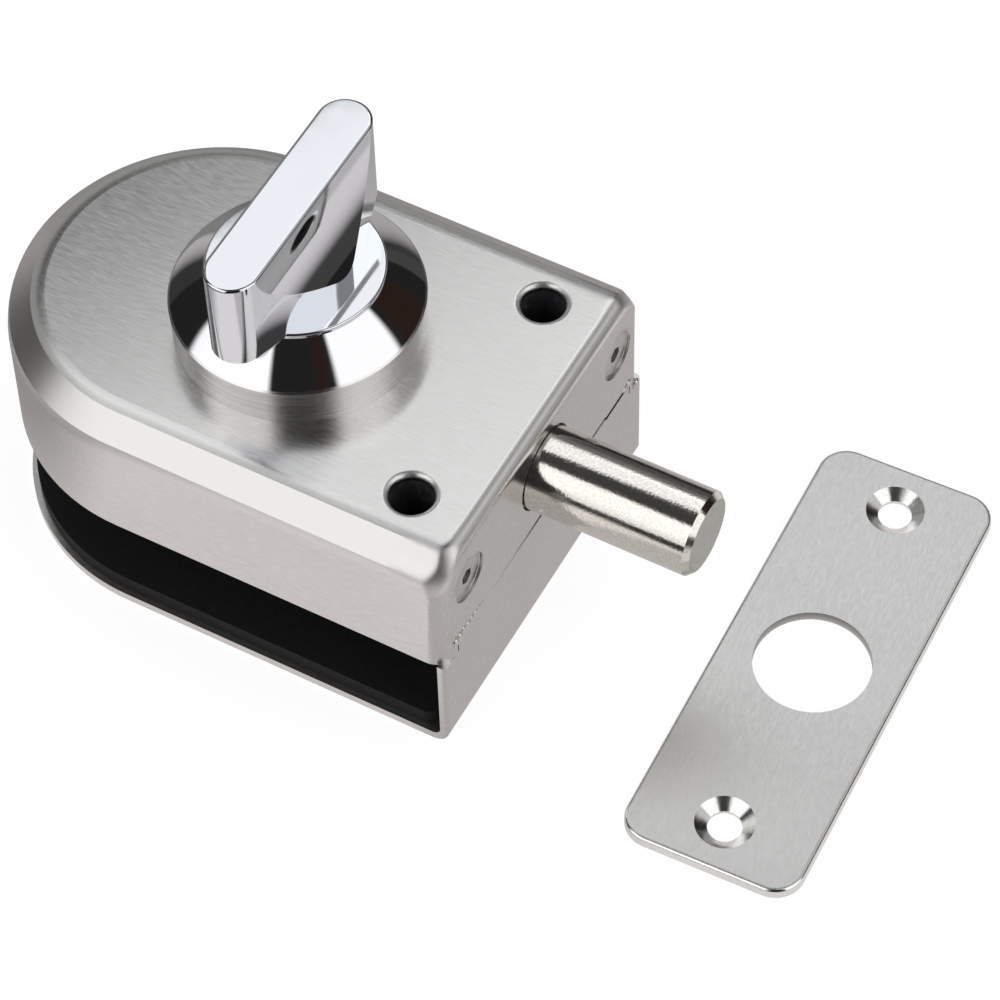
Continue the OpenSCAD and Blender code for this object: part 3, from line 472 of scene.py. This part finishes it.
bead_steel, tree, shader = surface("weld_bead")
scorch = grain(tree, scale=1500)
colour_over(tree, shader, scorch, dark=(0.66, 0.64, 0.6), light=(0.84, 0.83, 0.81))
gloss_over(tree, shader, scorch, smooth=0.14, rough=0.3)
relief(tree, shader, scorch, depth=0.03 * mm)

bolt_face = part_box("cover")[1].x / mm
bpy.ops.object.select_all(action="DESELECT")
bpy.ops.object.add(type="MESH", location=(0, 0, 0))
bead = bpy.context.object
bead.name = "weld_beads"
bpy.ops.object.mode_set(mode="EDIT")
for along_face, height, half_height, proud in near_ripples + far_ripples:
    bpy.ops.mesh.primitive_uv_sphere_add(
        segments=20, ring_count=12, radius=1.0 * mm,
        location=Vector((bolt_face - bead_sunk, along_face, height)) * mm,
        scale=(proud + bead_sunk, bead_half_width, half_height))
bpy.ops.object.mode_set(mode="OBJECT")
bpy.ops.object.shade_smooth()
bead.data.materials.append(bead_steel)
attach(bead, "lock_body")

# Screws: turned from plain steel, with sockets for a key. They hold the bolt face and the lid
# to the case, the rosette to the cover, and the rack to the bolt.

screw_steel, tree, shader = surface("screw_steel", (0.66, 0.65, 0.635))
turned = grain(tree, scale=1800)
gloss_over(tree, shader, turned, smooth=0.24, rough=0.4)
relief(tree, shader, turned, depth=0.01 * mm)
for name in ("end_screws", "lid_screws", "rosette_screws", "rack_screw"):
    dress(name, screw_steel)

# Case: a grey die casting that fills the cover and guides the bolt. Its skin is left as it came
# out of the die.

casting, tree, shader = surface("cast_case", (0.3, 0.31, 0.33))
skin = grain(tree, scale=900, detail=4)
gloss_over(tree, shader, skin, smooth=0.4, rough=0.62)
relief(tree, shader, skin, depth=0.04 * mm)
dress("lock_case", casting)

# Lid, rack and pressure plate: steel, cut to shape and zinc plated. The lid closes the case from
# below, the rack is screwed to the bolt's tail, and the pressure plate carries the upper pad.

plated, tree, shader = surface("zinc_plated")
spangle = grain(tree, scale=500, detail=2)
colour_over(tree, shader, spangle, dark=(0.48, 0.5, 0.52), light=(0.62, 0.63, 0.64))
gloss_over(tree, shader, spangle, smooth=0.28, rough=0.42)
for name in ("case_lid", "rack", "pressure_plate"):
    dress(name, plated)

# Bush and pinion: bronze, because steel slides on both. The bush is pressed into the mouth of
# the case, and the pinion is cut from bar and sits on the flats of the spindle.

bronze, tree, shader = surface("bush_bronze", (0.62, 0.43, 0.2))
pores = grain(tree, scale=1500)
gloss_over(tree, shader, pores, smooth=0.22, rough=0.4)
for name in ("bolt_bush", "pinion"):
    dress(name, bronze)

# Rosette: a satin ring, turned on a lathe, whose lines run round it. A chromed dome is pressed
# into the ring; its flank is a true cone of 45 degrees, and is shaded as one.

ring_steel, tree, shader = surface("satin_ring")
shader.inputs["Anisotropic"].default_value = 0.9
upright = add_node(tree, "ShaderNodeCombineXYZ")
upright.inputs["Z"].default_value = 1
tree.links.new(upright.outputs[0], shader.inputs["Tangent"])
lines = grain(tree, scale=1, detail=2, stretch=(20, 20, 2600))
colour_over(tree, shader, lines, dark=(0.82, 0.805, 0.795), light=(0.96, 0.95, 0.94))
gloss_over(tree, shader, lines, smooth=0.2, rough=0.28)
relief(tree, shader, lines, depth=0.002 * mm)
dress("rosette_ring", ring_steel)

knob_joint = next(joint for joint in frame["joints"] if joint["name"] == "knob_turn")
knob_x, knob_y = knob_joint["pos_m"][:2]
dome_chrome, tree, shader = surface("dome_chrome", (0.88, 0.88, 0.9))
from_axis = add_node(tree, "ShaderNodeVectorMath", operation="MULTIPLY_ADD")
tree.links.new(add_node(tree, "ShaderNodeTexCoord").outputs["Object"], from_axis.inputs[0])
from_axis.inputs[1].default_value = (1, 1, 0)
from_axis.inputs[2].default_value = (-knob_x, -knob_y, 0)
outwards = add_node(tree, "ShaderNodeVectorMath", operation="NORMALIZE")
tree.links.new(from_axis.outputs[0], outwards.inputs[0])
out_and_up = add_node(tree, "ShaderNodeVectorMath", operation="ADD")
tree.links.new(outwards.outputs[0], out_and_up.inputs[0])
out_and_up.inputs[1].default_value = (0, 0, 1)
cone_normal = add_node(tree, "ShaderNodeVectorMath", operation="NORMALIZE")
tree.links.new(out_and_up.outputs[0], cone_normal.inputs[0])
haze = grain(tree, scale=160)
gloss_over(tree, shader, haze, smooth=0.03, rough=0.06)
ripples = relief(tree, shader, haze, depth=0.003 * mm)
tree.links.new(cone_normal.outputs[0], ripples.inputs["Normal"])
dress("rosette_dome", dome_chrome)

# Knob: a thumb turn with its collar, die cast in one piece, polished and chromed. It is fixed on
# the upper flats of the spindle.

chrome, tree, shader = surface("polished_chrome", (0.79, 0.805, 0.84))
haze = grain(tree, scale=160)
gloss_over(tree, shader, haze, smooth=0.03, rough=0.07)
relief(tree, shader, haze, depth=0.004 * mm)
dress("knob", chrome)

# Spindle and guide pins: bright steel bar, turned on a lathe. The spindle carries the knob above
# and the pinion below, and the pins keep the pressure plate level as it comes down.

bright, tree, shader = surface("bright_steel", (0.52, 0.52, 0.54))
lathe = grain(tree, scale=1, detail=2, stretch=(20, 20, 2200))
gloss_over(tree, shader, lathe, smooth=0.18, rough=0.34)
relief(tree, shader, lathe, depth=0.004 * mm)
for name in ("spindle", "guide_pins"):
    dress(name, bright)

# Friction washer: punched from a sheet of white nylon. It lies round the spindle and keeps the
# knob from turning by itself.

nylon, tree, shader = surface("washer_nylon", metallic=0.0)
mottle = grain(tree, scale=700)
colour_over(tree, shader, mottle, dark=(0.7, 0.69, 0.64), light=(0.8, 0.79, 0.74))
gloss_over(tree, shader, mottle, smooth=0.4, rough=0.55)
dress("friction_washer", nylon)

# Clip and clamp screws: hardened steel, blackened in a hot bath. The clip snaps on the spindle,
# and the screws are reached by a key through the two holes in the cover.

blackened, tree, shader = surface("black_oxide", (0.05, 0.05, 0.055))
oxide = grain(tree, scale=1200)
gloss_over(tree, shader, oxide, smooth=0.32, rough=0.5)
for name in ("spindle_clip", "clamp_screw_near", "clamp_screw_far"):
    dress(name, blackened)

# Bolt: round steel bar, nickel plated, with the lines of the drawing along it and a fine pitting
# all over. Its end is faced off and bevelled, and almost smooth.

pit_share = 0.5
end_share = 0.12
barrel_to_end = (0.5, 0.9)

nickel, tree, shader = surface("nickel_plate")
drawing = grain(tree, scale=1, stretch=(60, 700, 700))
pits = grain(tree, scale=2400, detail=2)
colour_over(tree, shader, pits, dark=(0.74, 0.71, 0.65), light=(0.9, 0.88, 0.83))
gloss_over(tree, shader, drawing, smooth=0.07, rough=0.15)
skin = maths(tree, "MULTIPLY_ADD", pits, pit_share, maths(tree, "MULTIPLY", drawing, 1 - pit_share))
depth_left = ramp(tree, facing(tree, "X"), *barrel_to_end, 1.0, end_share)
relief(tree, shader, maths(tree, "MULTIPLY", skin, depth_left), depth=0.03 * mm)
dress("bolt", nickel)

# Strike plate: stamped from stainless sheet and ground a little askew across its width. Its
# edges are rolled over by the press, and its holes and countersinks are cut bright.

cut_rough = 0.16
face_to_cut = (0.97, 0.85)
askew = radians(5)
near_screw, far_screw = mounts["strike_screw_near"]["pos_m"], mounts["strike_screw_far"]["pos_m"]
plate_turn = atan2(near_screw[0] - far_screw[0], far_screw[1] - near_screw[1])
grain_turn = plate_turn + askew

strike, tree, shader = brushed_steel(
    "ground_plate", dark=(0.81, 0.805, 0.79), light=(1.0, 0.995, 0.98), rough=(0.36, 0.5),
    stretch=(440, 85, 440), along=(-sin(grain_turn), cos(grain_turn), 0),
    turn=(0, 0, grain_turn), depth=0.007 * mm)
cut_face = ramp(tree, facing(tree, "Z"), *face_to_cut)
tree.links.new(blend(tree, cut_face, feed(shader, "Roughness"), cut_rough), shader.inputs["Roughness"])
dress("strike_plate", strike)
